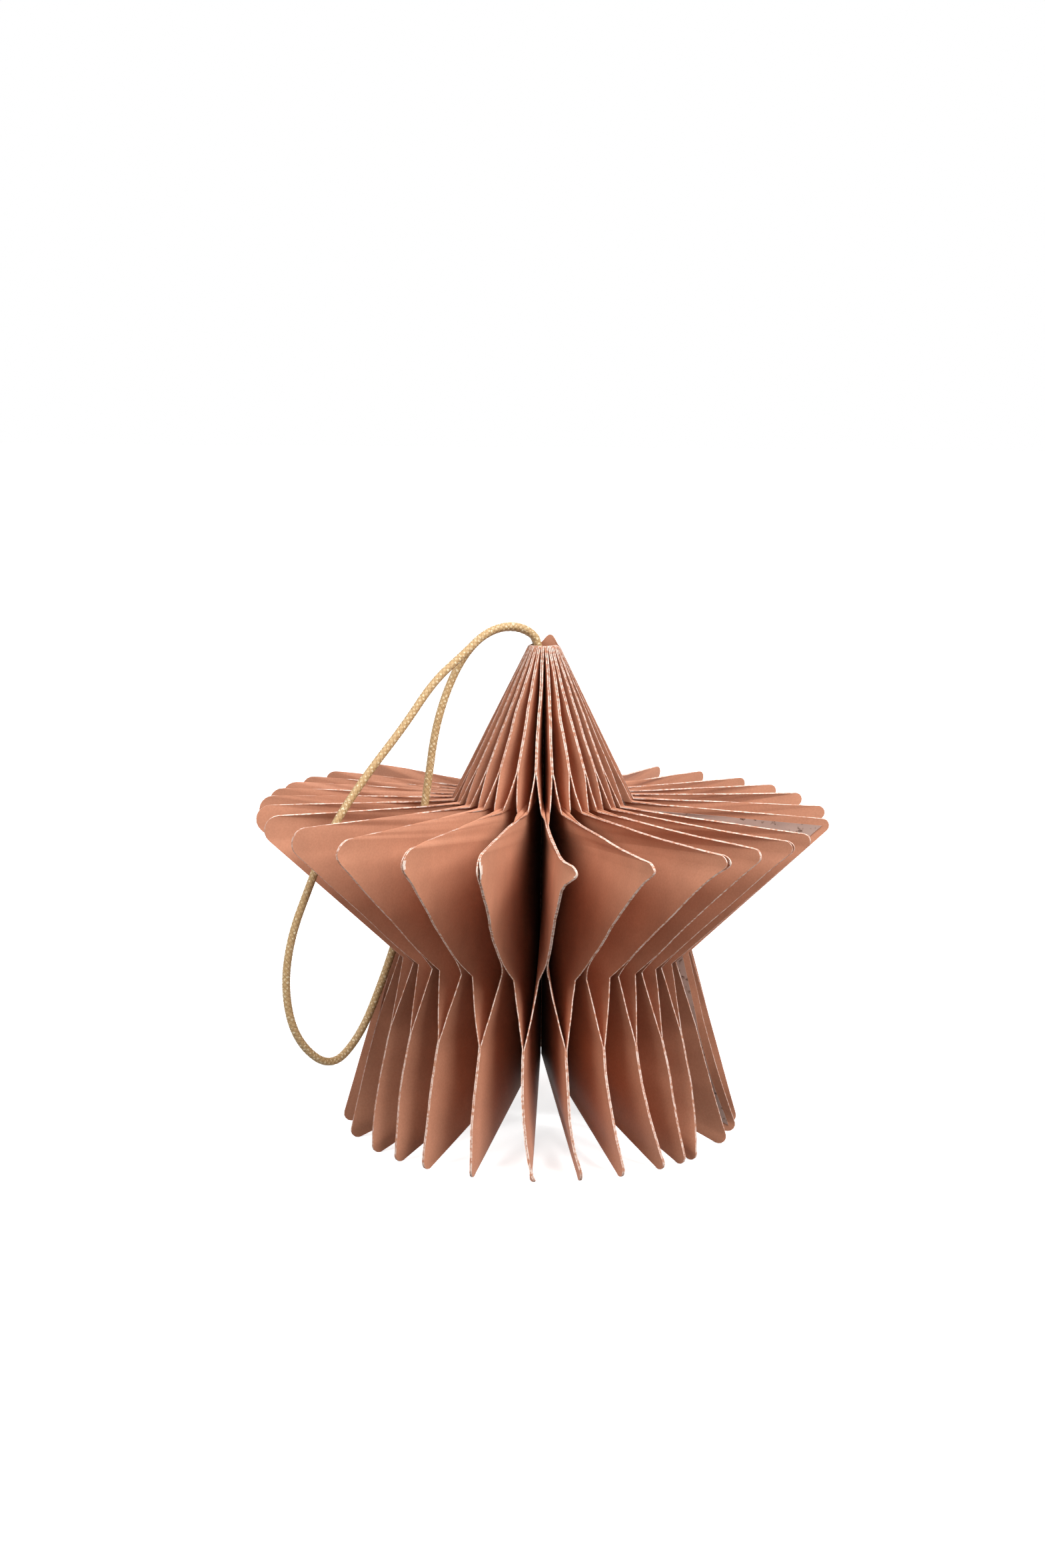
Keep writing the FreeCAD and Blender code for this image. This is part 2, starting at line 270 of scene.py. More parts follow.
class StarStage(bpy.types.PropertyGroup):
    floor_size: bpy.props.FloatProperty(
        name="Floor", description="Side of the square floor", default=6.0, unit="LENGTH")
    key_watts: bpy.props.FloatProperty(
        name="Key light", description="Power of the soft light at the right", default=8.0, unit="POWER")
    fill_watts: bpy.props.FloatProperty(
        name="Fill light", description="Power of the soft light at the left", default=4.6, unit="POWER")
    back_watts: bpy.props.FloatProperty(
        name="Back light", description="Power of the soft light behind", default=3.6, unit="POWER")
    sky: bpy.props.FloatProperty(
        name="Surroundings", description="Strength of the white surroundings", default=0.06)


def add(tree, kind, inputs=None, **settings):
    """Add a shader node with its settings; inputs maps a socket's name or number to a value or a socket."""
    node = tree.nodes.new("ShaderNode" + kind)
    for name, value in settings.items():
        setattr(node, name, value)
    for key, value in (inputs or {}).items():
        if isinstance(value, bpy.types.NodeSocket):
            tree.links.new(value, node.inputs[key])
        else:
            node.inputs[key].default_value = value
    return node


def new_material(name):
    """Empty node material, its tree and its output node."""
    material = bpy.data.materials.new(name)
    material.use_nodes = True
    material.node_tree.nodes.clear()
    return material, material.node_tree, add(material.node_tree, "OutputMaterial")


def grain_of(tree, size, detail, **inputs):
    """Noise in the piece's own space, with grains of about this size in millimetres."""
    place = add(tree, "TexCoord").outputs["Object"]
    inputs |= {"Vector": place, "Scale": 1 / (size * MM), "Detail": detail}
    return add(tree, "TexNoise", inputs).outputs["Fac"]


def seen_directly(tree, rays):
    """One for rays from the camera and for reflections, and nought for all others."""
    return add(tree, "Math", {0: rays.outputs["Is Camera Ray"], 1: rays.outputs["Is Glossy Ray"]},
               operation="MAXIMUM").outputs[0]


def coated_paper(settings):
    """Pearlescent coated card: a satin face with a fine mottle, and painted shade that darkens it far into
    the folds.
    """
    material, tree, output = new_material("coated_card")
    grain = grain_of(tree, 0.35, 3.0, Roughness=0.6)
    cloud = grain_of(tree, 6.0, 2.0)
    base = settings.colour
    dark = [c * f for c, f in zip(base, (0.95, 0.93, 0.92))] + [1.0]
    light = [min(1.0, c * f) for c, f in zip(base, (1.04, 1.05, 1.06))] + [1.0]
    mottle = add(tree, "ValToRGB", {"Fac": grain})
    mottle.color_ramp.elements[0].position = 0.35
    mottle.color_ramp.elements[0].color = dark
    mottle.color_ramp.elements[1].position = 0.65
    mottle.color_ramp.elements[1].color = light
    tone = add(tree, "MapRange", {"Value": cloud, "From Min": 0.3, "From Max": 0.7, "To Min": 0.93,
                                  "To Max": 1.05})
    body = add(tree, "Mix", {0: 1.0, 6: mottle.outputs["Color"], 7: tone.outputs["Result"]},
               data_type="RGBA", blend_type="MULTIPLY")
    # Painted shade: the colour darkens towards the spine, to about a fifth at the spine itself, where the
    # folds hide the light
    across = add(tree, "Attribute", attribute_name="across").outputs["Fac"]
    painted_shade = add(tree, "MapRange", {"Value": across, "From Min": 0.0, "From Max": 0.55, "To Min": 0.22,
                                  "To Max": 1.0}, interpolation_type="SMOOTHSTEP")
    shaded_body = add(tree, "Mix", {0: 1.0, 6: body.outputs[2], 7: painted_shade.outputs["Result"]},
                data_type="RGBA", blend_type="MULTIPLY")
    bump = add(tree, "Bump", {"Height": grain, "Distance": 0.02 * MM, "Strength": 0.35})
    surface = add(tree, "BsdfPrincipled", {"Base Color": shaded_body.outputs[2], "Roughness": 0.55,
                                           "Specular IOR Level": 0.25,
                                           "Normal": bump.outputs["Normal"]})
    tree.links.new(surface.outputs["BSDF"], output.inputs["Surface"])
    return material


def cut_edge(settings):
    """The paper's die-cut edge: matt, with pale fibres of the core in patches along the coating's colour."""
    material, tree, output = new_material("cut_edge")
    grain = grain_of(tree, 0.6, 3.0)
    fuzz = add(tree, "MapRange", {"Value": grain, "From Min": 0.38, "From Max": 0.58})
    body = add(tree, "Mix", {0: fuzz.outputs["Result"], 6: settings.colour, 7: settings.edge_colour},
               data_type="RGBA")
    surface = add(tree, "BsdfPrincipled", {"Base Color": body.outputs[2], "Roughness": 0.85})
    tree.links.new(surface.outputs["BSDF"], output.inputs["Surface"])
    return material


def torn_core(settings):
    """The paper's torn core: matt pale fibres where the coating has come off."""
    material, tree, output = new_material("torn_core")
    grain = grain_of(tree, 0.3, 3.0)
    tone = add(tree, "MapRange", {"Value": grain, "From Min": 0.3, "From Max": 0.7, "To Min": 0.85,
                                  "To Max": 1.1})
    body = add(tree, "Mix", {0: 1.0, 6: linear("f2dccd"), 7: tone.outputs["Result"]},
               data_type="RGBA", blend_type="MULTIPLY")
    surface = add(tree, "BsdfPrincipled", {"Base Color": body.outputs[2], "Roughness": 0.9})
    tree.links.new(surface.outputs["BSDF"], output.inputs["Surface"])
    return material


def rounded(before, centre, radius, after, steps, stop=None):
    """Arc of a rounded corner between the tangents from the outline's points before and after it.

    With a stop, an angle, the middle point of the arc lies there.
    """
    ends = []
    for point, side in ((before, 1), (after, -1)):
        lean = math.acos(radius / math.dist(point, centre))
        ends.append(math.atan2(point[1] - centre[1], point[0] - centre[0]) - side * lean)
    if ends[1] > ends[0]:
        ends[1] -= 2 * math.pi
    middle = mix(ends[0], ends[1], 0.5) if stop is None else stop
    half = steps // 2
    turns = [mix(ends[0], middle, i / half) for i in range(half)]
    turns += [mix(middle, ends[1], i / half) for i in range(half + 1)]
    return [(centre[0] + radius * math.cos(a), centre[1] + radius * math.sin(a)) for a in turns]


def upper_corners(leaf):
    """Leaf's outline at its top: the peak of the first leaf, or the top corner alone."""
    top = (SPINE_RADIUS + TOP_LAND, STAR_HEIGHT - TOP_DROP)
    if leaf:
        return [top]
    return [mix((SPINE_RADIUS - PEAK_LEAN, STAR_HEIGHT + PEAK_RISE), top, share) for share in (0.0, 0.4, 1.0)]


def tip_arc(leaf):
    """Rounded tip of a leaf's outline, with its outermost point in the middle."""
    tip_round = SOFT_TIP_ROUND if leaf // 2 in SOFT_TIPS else CRISP_TIP_ROUND
    return rounded(UPPER_NOTCH, (ARM_REACH - tip_round, ARM_TIP_HEIGHT), tip_round, LOWER_NOTCH, CORNER_STEPS)


def foot_arc():
    """Rounded foot of a leaf's outline, with its lowest point in the middle."""
    centre = (FOOT_REACH - FOOT_ROUND, FOOT_ROUND)
    crotch = (SPINE_RADIUS, CROTCH_HEIGHT)
    return rounded(LOWER_NOTCH, centre, FOOT_ROUND, crotch, CORNER_STEPS, stop=-math.pi / 2)


def spine_height(fold):
    """Height of the spine edge at this share of it, from the top."""
    return STAR_HEIGHT - (STAR_HEIGHT - CROTCH_HEIGHT) * fold


def free_edge(leaf):
    """Stations round a leaf's free edge, from the end of the cone's glue to the foot."""
    top = upper_corners(leaf)[-1]
    tip = tip_arc(leaf)
    foot = foot_arc()
    fork = mix(top, UPPER_NOTCH, CONE_GLUE_END)
    stations = []
    for i in range(FORK_STEPS):
        share = i / FORK_STEPS
        fold = mix(FOLD_FORK, FOLD_UPPER_NOTCH, share)
        stations.append(Station(*mix(fork, UPPER_NOTCH, share), UPPER_SWING * share, fold, 0, 0))
    for i in range(ARM_STEPS):
        along = i / ARM_STEPS
        closed = min(1.0, along / ARM_GLUE_START)
        swing = 1 - (1 - UPPER_SWING) * (1 - closed) ** 2
        glued = max(0.0, along - ARM_GLUE_START) / (1 - ARM_GLUE_START)
        fold = mix(FOLD_UPPER_NOTCH, FOLD_ARM_GLUED, closed) + (FOLD_TIP_ABOVE - FOLD_ARM_GLUED) * glued
        stations.append(Station(*mix(UPPER_NOTCH, tip[0], along), swing, fold, along, 0))
    for i, point in enumerate(tip):
        stations.append(Station(*point, 1, mix(FOLD_TIP_ABOVE, FOLD_TIP_BELOW, i / CORNER_STEPS), 1, 0))
    for i in range(1, ARM_STEPS + 1):
        along = i / ARM_STEPS
        opened = max(0.0, along - ARM_GLUE_END) / (1 - ARM_GLUE_END)
        swing = 1 - (1 - LOWER_SWING) * opened ** 2
        glued = min(1.0, along / ARM_GLUE_END)
        fold = mix(FOLD_TIP_BELOW, FOLD_ARM_OPEN, glued) + (FOLD_LOWER_NOTCH - FOLD_ARM_OPEN) * opened
        stations.append(Station(*mix(tip[-1], LOWER_NOTCH, along), swing, fold, 1 - along, 0))
    for i in range(1, LEG_OPEN_STEPS + 1):
        share = i / LEG_OPEN_STEPS
        point = mix(LOWER_NOTCH, foot[0], LEG_GLUE_START * share)
        fold = mix(FOLD_LOWER_NOTCH, FOLD_LEG_GLUED, share)
        stations.append(Station(*point, LOWER_SWING * (1 - share), fold, 0, 0))
    for i in range(1, LEG_GLUED_STEPS):
        share = i / LEG_GLUED_STEPS
        point = mix(LOWER_NOTCH, foot[0], mix(LEG_GLUE_START, 1.0, share))
        stations.append(Station(*point, 0, mix(FOLD_LEG_GLUED, FOLD_FOOT, share), 0, share))
    for i, point in enumerate(foot):
        stations.append(Station(*point, 0, mix(FOLD_FOOT, 1.0, i / CORNER_STEPS), 0, 1))
    return stations


def node_azimuth(node, radius, height, reference):
    """Azimuth halfway between the two faces of a CAD leaf at this radius and height."""
    total = Vector((0, 0))
    for vertex in node.data.vertices:
        x, y, z = vertex.co
        if abs(math.hypot(x, y) - radius) < NEAR and abs(z - height) < NEAR:
            total += Vector((x, y))
    if not total.length:
        raise RuntimeError(f"{node.name} has no corner at radius {radius:.5f}, height {height:.5f}")
    return near_azimuth(math.degrees(math.atan2(total.x, -total.y)), reference)


class LeafLines:
    """The azimuths of one leaf, read from its CAD node: slot at the spine, cone, arm's root and tip, foot."""

    def __init__(self, leaf, stations):
        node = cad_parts[f"leaf_{leaf + 1:02d}"]
        self.leaf = leaf
        self.side = 1 if leaf % 2 else -1
        low = min(node.data.vertices, key=lambda v: v.co.z).co
        reference = math.degrees(math.atan2(low.x, -low.y))
        top = upper_corners(leaf)[-1]
        fork = stations[0]
        tip = tip_arc(leaf)
        glued = mix(UPPER_NOTCH, tip[0], ARM_GLUE_START)
        foot = (FOOT_REACH - FOOT_ROUND, 0.0)
        self.slot = node_azimuth(node, *top, reference)
        self.cone = self.on_line(node, (fork.radius, fork.height), -1, reference)
        arm = self.on_line(node, glued, 1, reference)
        self.tip = self.on_line(node, tip[CORNER_STEPS // 2], 1, reference)
        self.root = (arm - ARM_GLUE_START * self.tip) / (1 - ARM_GLUE_START)
        self.foot = self.on_line(node, foot, -1, reference)

    def on_line(self, node, point, line, reference):
        """Azimuth of the glue line beside this point of the node; line is 1 on the arm and -1 elsewhere."""
        return node_azimuth(node, *point, reference) - line * self.side * half_sheet(point[0])

    def azimuth(self, station, wave):
        """Azimuth of the leaf's middle at a station of its free edge, with the glued line's wander."""
        arm = mix(self.root, self.tip, station.along_arm) + self.side * half_sheet(station.radius)
        flare = station.along_leg ** LEG_FLARE
        cone = mix(self.cone, self.foot, flare) - self.side * half_sheet(station.radius)
        point = (station.radius, station.height)
        cone_shift = wander(CONE_LINES + (self.leaf + 1) // 2, *point)
        shift = mix(cone_shift, wander(self.leaf // 2, *point), station.swing)
        return mix(cone, arm, station.swing) + math.degrees(wave * shift / station.radius)


def wander(line, radius, height):
    """How many times the waviness a glued line lies sideways at a point of it, the same for both leaves.

    Each line has its own stretch of the noise.
    """
    slow = noise.noise(Vector((7.3 * line, SLOW_WAVES * radius, SLOW_WAVES * height)))
    quick = noise.noise(Vector((3.1 * line, QUICK_WAVES * radius, QUICK_WAVES * height)))
    return SLOW_WEIGHT * slow + QUICK_WEIGHT * quick


def half_sheet(radius):
    """Degrees of azimuth that half the leaf's CAD thickness takes at this radius."""
    return math.degrees(HALF_SHEET / radius)


def ruled_sheet(places, folds, edge_name, spine_place, columns):
    """Bmesh of the rulings from a chain of places to the spine, divided into columns.

    The layer "fold" keeps each ruling's share of the spine's height, whose place spine_place gives. The layer
    of this edge_name runs from one at the chain to nought at the spine.
    """
    sheet = bmesh.new()
    fold_layer = sheet.verts.layers.float.new("fold")
    edge_layer = sheet.verts.layers.float.new(edge_name)
    chain = []
    for place, fold in zip(places, folds):
        vertex = sheet.verts.new(place)
        vertex[fold_layer] = fold
        vertex[edge_layer] = 1.0
        chain.append(vertex)
    edges = [sheet.edges.new(pair) for pair in zip(chain, chain[1:])]
    made = bmesh.ops.extrude_edge_only(sheet, edges=edges)["geom"]
    spine = {item for item in made if isinstance(item, bmesh.types.BMVert)}
    for vertex in spine:
        vertex.co = spine_place(vertex[fold_layer])
        vertex[edge_layer] = 0.0
    rulings = [e for e in sheet.edges if (e.verts[0] in spine) != (e.verts[1] in spine)]
    bmesh.ops.subdivide_edges(sheet, edges=rulings, cuts=columns - 1, use_grid_fill=True)
    return sheet


def leaf_sheet(leaf, settings):
    """Bmesh of the middle of one leaf, and its lines: its free edge is ruled to the spine."""
    stations = free_edge(leaf)
    lines = LeafLines(leaf, stations)
    corners = upper_corners(leaf)
    wave = settings.wave
    line = CONE_LINES + (leaf + 1) // 2
    fork = polar(stations[0].radius, lines.azimuth(stations[0], wave), stations[0].height)
    top = polar(corners[-1][0], lines.slot, corners[-1][1])
    places = [polar(r, lines.slot, z) for r, z in corners[:-1]]
    folds = [0.001 * i for i in range(len(places))]
    across = polar(1.0, lines.slot + 90, 0)
    calm = wander(line, stations[0].radius, stations[0].height)
    for i in range(CONE_STEPS):
        share = i / CONE_STEPS
        place = top.lerp(fork, share)
        shift = wander(line, math.hypot(place.x, place.y), place.z) - calm
        places.append(place + across * wave * shift * math.sin(math.pi * share))
        folds.append(mix(0.002, FOLD_FORK, share))
    for station in stations:
        places.append(polar(station.radius, lines.azimuth(station, wave), station.height))
        folds.append(station.fold)

    def spine_place(fold):
        return polar(SPINE_RADIUS, lines.slot, spine_height(fold))

    sheet = ruled_sheet(places, folds, "across", spine_place, COLUMNS)
    fold_layer = sheet.verts.layers.float["fold"]
    across_layer = sheet.verts.layers.float["across"]
    for vertex in sheet.verts:
        share = vertex[across_layer]
        if 0 < share < 1:
            root = spine_place(vertex[fold_layer])
            crowded = 1 - (1 - share) ** CROWDING
            vertex.co = root + (vertex.co - root) * crowded / share
            vertex[across_layer] = crowded
    for bend in TIP_BENDS.get(leaf, ()):
        bend_corner(sheet, polar(ARM_REACH, lines.tip, ARM_TIP_HEIGHT), lines.tip, *bend)
    for bend in FOOT_BENDS.get(leaf, ()):
        bend_corner(sheet, polar(FOOT_REACH, lines.foot, 0.0), lines.foot, *bend)
    if leaf in TORN_TIPS:
        tip = max(sheet.verts, key=lambda v: math.hypot(v.co.x, v.co.y)).co
        for face in sheet.faces:
            if (face.calc_center_median() - tip).length < TORN_TIPS[leaf] * MM:
                face.material_index = 2
    return sheet, lines


def bend_corner(sheet, corner, azimuth, sideways, outwards, reach):
    """Bend a corner of the leaf sideways and draw it out, by millimetres, within a reach of its place."""
    side = polar(sideways * MM, azimuth + 90, 0)
    out = polar(outwards * MM, azimuth, 0)
    for vertex in sheet.verts:
        near = max(0.0, 1 - (vertex.co - corner).length / (reach * MM))
        if near:
            vertex.co += side * near ** 1.5 + out * near ** 2


def finish_sheet(name, sheet, thickness, materials):
    """Object of a sheet given its thickness, with its rim in the second material where there is one."""
    mesh = bpy.data.meshes.new(name)
    bmesh.ops.recalc_face_normals(sheet, faces=sheet.faces)
    sheet.to_mesh(mesh)
    sheet.free()
    piece = bpy.data.objects.new(name, mesh)
    bpy.context.scene.collection.objects.link(piece)
    for material in materials:
        mesh.materials.append(material)
    solid = piece.modifiers.new("thickness", "SOLIDIFY")
    solid.thickness = thickness
    solid.offset = 0.0
    solid.material_offset_rim = min(1, len(materials) - 1)
    bpy.context.view_layer.update()
    made = bpy.data.meshes.new_from_object(piece.evaluated_get(bpy.context.evaluated_depsgraph_get()))
    piece.modifiers.clear()
    piece.data = made
    made.name = name
    made.shade_smooth()
    made.set_sharp_from_angle(angle=SHARP_ANGLE)
    return piece


def peak_tab(settings, materials):
    """Rounded peak of the first leaf, which stands up over the hollow spine in the leaf's plane."""
    lines = LeafLines(0, free_edge(0))
    sheet = bmesh.new()
    across_layer = sheet.verts.layers.float.new("across")
    corners = [sheet.verts.new(polar(r * MM, lines.slot, STAR_HEIGHT + z * MM)) for r, z in PEAK_OUTLINE]
    # The tab's share across the fold sets how much painted shade darkens its colour
    for corner in corners:
        corner[across_layer] = TAB_SHADE_DEPTH
    sheet.faces.new(corners)
    bmesh.ops.triangulate(sheet, faces=sheet.faces)
    return finish_sheet("peak_tab", sheet, settings.thickness, materials)


class STAR_OT_leaves(bpy.types.Operator):
    """Make the die-cut paper leaves"""
    bl_idname = "star.leaves"
    bl_label = "Paper leaves"

    def execute(self, context):
        settings = context.scene.star_paper
        materials = [coated_paper(settings), cut_edge(settings), torn_core(settings)]
        for leaf in range(LEAVES):
            sheet, _ = leaf_sheet(leaf, settings)
            piece = finish_sheet(f"paper_leaf_{leaf + 1:02d}", sheet, settings.thickness, materials)
            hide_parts(f"leaf_{leaf + 1:02d}")
            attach(piece, "root")
        tab = peak_tab(settings, materials)
        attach(tab, "root")
        return {"FINISHED"}


def film_face(settings):
    """Cast vinyl film: smooth and greyish mauve, with a few dark specks of old glue along its border."""
    material, tree, output = new_material("cast_vinyl")
    cloud = grain_of(tree, 5.0, 3.0)
    tone = add(tree, "MapRange", {"Value": cloud, "From Min": 0.3, "From Max": 0.7, "To Min": 0.84,
                                  "To Max": 1.12})
    body = add(tree, "Mix", {0: 1.0, 6: settings.colour, 7: tone.outputs["Result"]},
               data_type="RGBA", blend_type="MULTIPLY")
    border = add(tree, "Attribute", attribute_name="border").outputs["Fac"]
    grit = grain_of(tree, 0.8, 2.0)
    spots = add(tree, "Math", {0: grit, 1: border}, operation="MULTIPLY")
    dirt = add(tree, "MapRange", {"Value": spots.outputs[0], "From Min": 0.56, "From Max": 0.66})
    soiled = add(tree, "Mix", {0: dirt.outputs["Result"], 6: body.outputs[2], 7: linear("6e5245")},
                 data_type="RGBA")
    bump = add(tree, "Bump", {"Height": cloud, "Distance": 0.05 * MM, "Strength": 0.3})
    surface = add(tree, "BsdfPrincipled", {"Base Color": soiled.outputs[2], "Roughness": 0.42,
                                           "Normal": bump.outputs["Normal"]})
    tree.links.new(surface.outputs["BSDF"], output.inputs["Surface"])
    return material


def crossing(a, b, c, d):
    """Where the plane lines a-b and c-d cross."""
    ab = (b[0] - a[0], b[1] - a[1])
    cd = (d[0] - c[0], d[1] - c[1])
    share = ((c[0] - a[0]) * cd[1] - (c[1] - a[1]) * cd[0]) / (ab[0] * cd[1] - ab[1] * cd[0])
    return mix(a, b, share)


def inset(corners, margin):
    """Corners of a plane outline that runs clockwise, moved inwards by a margin."""
    sides = []
    for a, b in zip(corners, corners[1:] + corners[:1]):
        length = math.dist(a, b)
        shift = ((b[1] - a[1]) / length * margin, -(b[0] - a[0]) / length * margin)
        sides.append(((a[0] + shift[0], a[1] + shift[1]), (b[0] + shift[0], b[1] + shift[1])))
    return [crossing(*before, *side) for before, side in zip(sides[-1:] + sides[:-1], sides)]


def film_sheet(settings):
    """Bmesh of the film: the first leaf's outline less a margin, laid on the leaf's outer face."""
    sheet, lines = leaf_sheet(0, settings)
    surface = BVHTree.FromBMesh(sheet)
    sheet.free()
    top = upper_corners(1)[0]
    tip = tip_arc(0)
    crotch = (SPINE_RADIUS, CROTCH_HEIGHT)
    foot = foot_arc()
    tip_corner = crossing(UPPER_NOTCH, tip[0], LOWER_NOTCH, tip[-1])
    foot_corner = crossing(LOWER_NOTCH, foot[0], crotch, foot[-1])
    corners = [(SPINE_RADIUS, top[1]), top, UPPER_NOTCH, tip_corner, LOWER_NOTCH, foot_corner, crotch]
    inner = inset(corners, FILM_MARGIN)
    upper = mix(lines.cone, lines.tip, UPPER_SWING)
    lower = mix(lines.cone, lines.tip, LOWER_SWING)
    free = list(zip(inner[1:6], (lines.cone, upper, lines.tip, lower, lines.foot), FILM_FOLDS))
    places = []
    folds = []
    for start, stop in zip(free, free[1:]):
        steps = FILM_STEPS + 1 if stop is free[-1] else FILM_STEPS
        for i in range(steps):
            (r, z), azimuth, fold = [mix(p, q, i / FILM_STEPS) for p, q in zip(start, stop)]
            places.append(polar(r, azimuth, z))
            folds.append(fold)

    def spine_place(fold):
        return polar(SPINE_RADIUS + FILM_MARGIN, lines.slot, mix(inner[0][1], inner[6][1], fold))

    film = ruled_sheet(places, folds, "border", spine_place, FILM_COLUMNS)
    outwards = -polar(1.0, lines.slot + 90, 0)
    for vertex in film.verts:
        place, normal, _, _ = surface.find_nearest(vertex.co)
        if normal.dot(outwards) < 0:
            normal = -normal
        vertex.co = place + normal * FILM_STAND_OFF
    return film


class STAR_OT_film(bpy.types.Operator):
    """Lay the adhesive film on the first leaf"""
    bl_idname = "star.film"
    bl_label = "Adhesive film"

    def execute(self, context):
        settings = context.scene.star_film
        sheet = film_sheet(context.scene.star_paper)
        piece = finish_sheet("seam_film", sheet, settings.thickness, [film_face(settings)])
        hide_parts("adhesive_film")
        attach(piece, "root")
        return {"FINISHED"}


def waxed_cord(settings):
    """Waxed cotton cord: a round braid with painted shade that darkens it between the strands, and pale
    flecks on the raised strands.
    """
    material, tree, output = new_material("waxed_cotton")
    strand = add(tree, "Attribute", attribute_name="strand").outputs["Fac"]
    base = settings.colour
    # Painted shade: the colour is darkened where the braid's surface lies low between the strands
    groove_shade = [c * f for c, f in zip(base, (0.52, 0.45, 0.38))] + [1.0]
    shaded_weave = add(tree, "Mix", {0: strand, 6: groove_shade, 7: base}, data_type="RGBA")
    grit = grain_of(tree, 0.45, 2.0)
    high = add(tree, "Math", {0: grit, 1: strand}, operation="MULTIPLY")
    fleck = add(tree, "MapRange", {"Value": high.outputs[0], "From Min": 0.50, "From Max": 0.60})
    flecked = add(tree, "Mix", {0: fleck.outputs["Result"], 6: shaded_weave.outputs[2], 7: linear("ead9b4")},
                  data_type="RGBA")
    surface = add(tree, "BsdfPrincipled", {"Base Color": flecked.outputs[2], "Roughness": 0.5})
    tree.links.new(surface.outputs["BSDF"], output.inputs["Surface"])
    return material


def route_curve(name, bevel):
    """Curve of the cord's route, smooth from end to end."""
    curve = bpy.data.curves.new(name, "CURVE")
    curve.dimensions = "3D"
    curve.bevel_depth = bevel
    curve.bevel_resolution = 6
    curve.use_fill_caps = True
    spline = curve.splines.new("NURBS")
    spline.points.add(len(CORD_ROUTE) - 1)
    for point, place in zip(spline.points, CORD_ROUTE):
        point.co = (*[c * MM for c in place], 1.0)
    spline.order_u = 3
    spline.use_endpoint_u = True
    spline.resolution_u = 80
    return curve


def mesh_of(curve):
    """Mesh of a curve, made through an object that is thrown away."""
    holder = bpy.data.objects.new(curve.name, curve)
    bpy.context.scene.collection.objects.link(holder)
    bpy.context.view_layer.update()
    mesh = bpy.data.meshes.new_from_object(holder.evaluated_get(bpy.context.evaluated_depsgraph_get()))
    bpy.data.objects.remove(holder)
    return mesh


def braided_tube(settings):
    """Mesh of the cord and its path: a round tube whose surface is raised in the diamonds of a braid."""
    path = [v.co.copy() for v in mesh_of(route_curve("cord_path", 0.0)).vertices]
    radius = settings.diameter / 2
    tube = mesh_of(route_curve("hanging_loop", radius))
    around = len(tube.vertices) // len(path)
    values = []
    run = 0.0
    for i, centre in enumerate(path):
        if i:
            run += (centre - path[i - 1]).length
        along = 2 * math.pi * run / STRAND_PITCH
        for j in range(around):
            vertex = tube.vertices[i * around + j]
            turn = 2 * math.pi * j / around
            crossed = math.cos(2 * turn + along) * math.cos(2 * turn - along)
            height = min(1.0, 1.5 * abs(crossed) ** 0.5)
            values.append(height)
            vertex.co = centre + (vertex.co - centre) * (1 - (1 - height) * STRAND_DEPTH / radius)
    values += [1.0] * (len(tube.vertices) - len(values))
    tube.attributes.new("strand", "FLOAT", "POINT").data.foreach_set("value", values)
    tube.shade_smooth()
    return tube, path


class STAR_OT_cord(bpy.types.Operator):
    """Make the hanging loop and its knot"""
    bl_idname = "star.cord"
    bl_label = "Cord and knot"

    def execute(self, context):
        settings = context.scene.star_cord
        material = waxed_cord(settings)
        mesh, path = braided_tube(settings)
        mesh.materials.append(material)
        cord = bpy.data.objects.new("hanging_loop", mesh)
        context.scene.collection.objects.link(cord)
        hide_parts("hanging_cord")
        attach(cord, "root")
        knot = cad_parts["cord_knot"]
        knot.data.materials.clear()
        knot.data.materials.append(material)
        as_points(path)
        return {"FINISHED"}


def soft_box(name, azimuth, elevation, distance, size, watts):
    """Square area light that looks at the middle of the star."""
    lamp = bpy.data.lights.new(name, "AREA")
    lamp.energy = watts
    lamp.size = size
    light = bpy.data.objects.new(name, lamp)
    middle = Vector((0, 0, STAR_HEIGHT / 2))
    reach = distance * math.cos(math.radians(elevation))
    offset = polar(reach, azimuth, distance * math.sin(math.radians(elevation)))
    light.location = middle + offset
    light.rotation_euler = (-offset).to_track_quat("-Z", "Y").to_euler()
    bpy.context.scene.collection.objects.link(light)


class STAR_OT_stage(bpy.types.Operator):
    """Make the floor, the lights, the surroundings and the camera"""
    bl_idname = "star.stage"
    bl_label = "Stage"

    def execute(self, context):
        settings = context.scene.star_stage
        scene = context.scene
        scene.view_settings.view_transform = "Standard"
        place_camera(scene)
        lay_floor(settings)
        for name, place in LIGHTS.items():
            soft_box(f"{name}_light", *place, getattr(settings, f"{name}_watts"))
        world = bpy.data.worlds.new("surroundings")
        world.use_nodes = True
        tree = world.node_tree
        tree.nodes.clear()
        seen = seen_directly(tree, add(tree, "LightPath"))
        strength = add(tree, "MapRange", {"Value": seen, "To Min": settings.sky, "To Max": 1.0})
        background = add(tree, "Background", {"Color": (1, 1, 1, 1), "Strength": strength.outputs["Result"]})
        add(tree, "OutputWorld", {"Surface": background.outputs[0]})
        scene.world = world
        return {"FINISHED"}


def place_camera(scene):
    """Camera at the photograph's viewing angle."""
    data = bpy.data.cameras.new("camera")
    data.lens = CAMERA_LENS
    data.sensor_width = SENSOR
    data.clip_start = 0.01
    camera = bpy.data.objects.new("camera", data)
    turn = Matrix.Rotation(math.pi / 2 - CAMERA_PITCH, 4, "X") @ Matrix.Rotation(CAMERA_ROLL, 4, "Z")
    camera.matrix_world = Matrix.Translation(CAMERA_PLACE) @ turn
    scene.collection.objects.link(camera)
    scene.camera = camera


